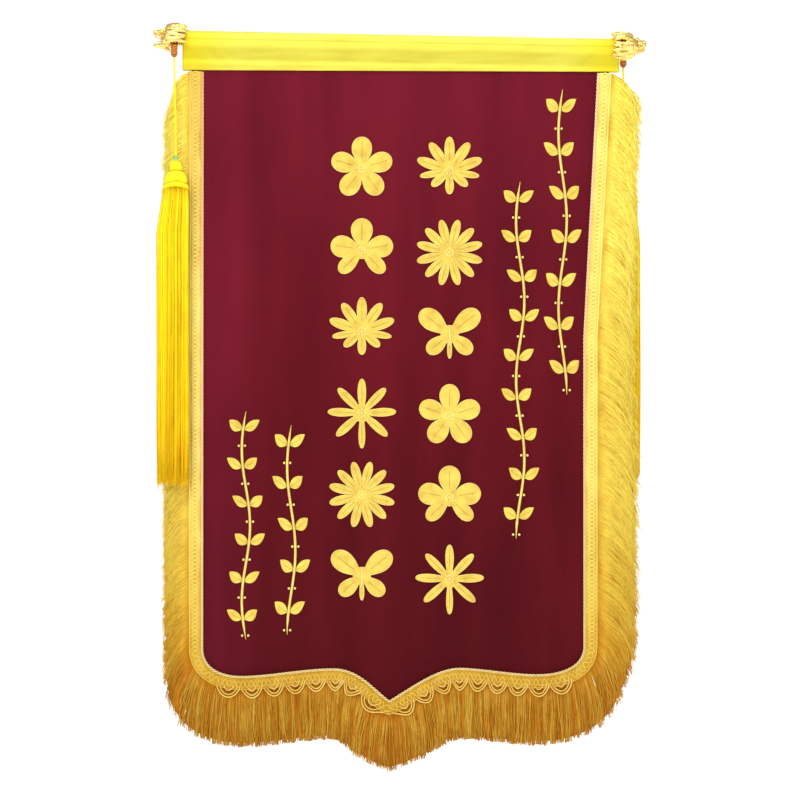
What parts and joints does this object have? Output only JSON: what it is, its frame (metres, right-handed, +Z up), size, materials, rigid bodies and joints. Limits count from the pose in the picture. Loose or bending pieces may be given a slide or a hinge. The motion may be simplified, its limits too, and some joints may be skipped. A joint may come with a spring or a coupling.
{
  "type": "silk honor banner with its hanging rod",
  "caption": "Fringed velvet honor banner with a bracket-shaped hem, hung by a satin sleeve from a rod with dragon-head finials and long tassels.",
  "frame": {"origin": "middle of the rod's axis, where a wall hook or cord holds the banner up", "axes": "+X to the right along the banner as seen from the front, +Z up, -Y towards the viewer"},
  "size_m": [0.7182, 0.0622, 1.1031],
  "materials": {
    "velvet": "crimson cotton velvet, short dense pile",
    "satin": "lemon-yellow polyester satin, soft sheen",
    "braid": "woven gold gimp braid with a picot edge",
    "fringe_silk": "crimped golden rayon fringe",
    "tassel_silk": "golden-yellow rayon tassel thread and cord",
    "tie_cord": "wrapped amber cord",
    "applique": "gold cloth motif with a stitched edge",
    "gilt": "bright gold-plated casting",
    "bead": "polished green bead",
    "rod_wood": "plain turned dowel"
  },
  "bodies": {
    "root": {"rod": "rod_wood", "finial_left": "gilt", "finial_right": "gilt", "velvet_panel": "velvet", "satin_sleeve": "satin", "gimp_braid": "braid", "fringe_left": "fringe_silk", "fringe_bottom": "fringe_silk", "fringe_right": "fringe_silk", "tassel_tie_left": "tie_cord", "tassel_cord_left": "tassel_silk", "tassel_bead_left": "bead", "tassel_left": "tassel_silk", "tassel_tie_right": "tie_cord", "tassel_cord_right": "tassel_silk", "tassel_bead_right": "bead", "tassel_right": "tassel_silk", "motif_west_1": "applique", "motif_west_2": "applique", "motif_west_3": "applique", "motif_west_4": "applique", "motif_west_5": "applique", "motif_west_6": "applique", "motif_east_1": "applique", "motif_east_2": "applique", "motif_east_3": "applique", "motif_east_4": "applique", "motif_east_5": "applique", "motif_east_6": "applique", "garland_right_outer": "applique", "garland_right_inner": "applique", "garland_left_inner": "applique", "garland_left_outer": "applique"}
  },
  "joints": []
}
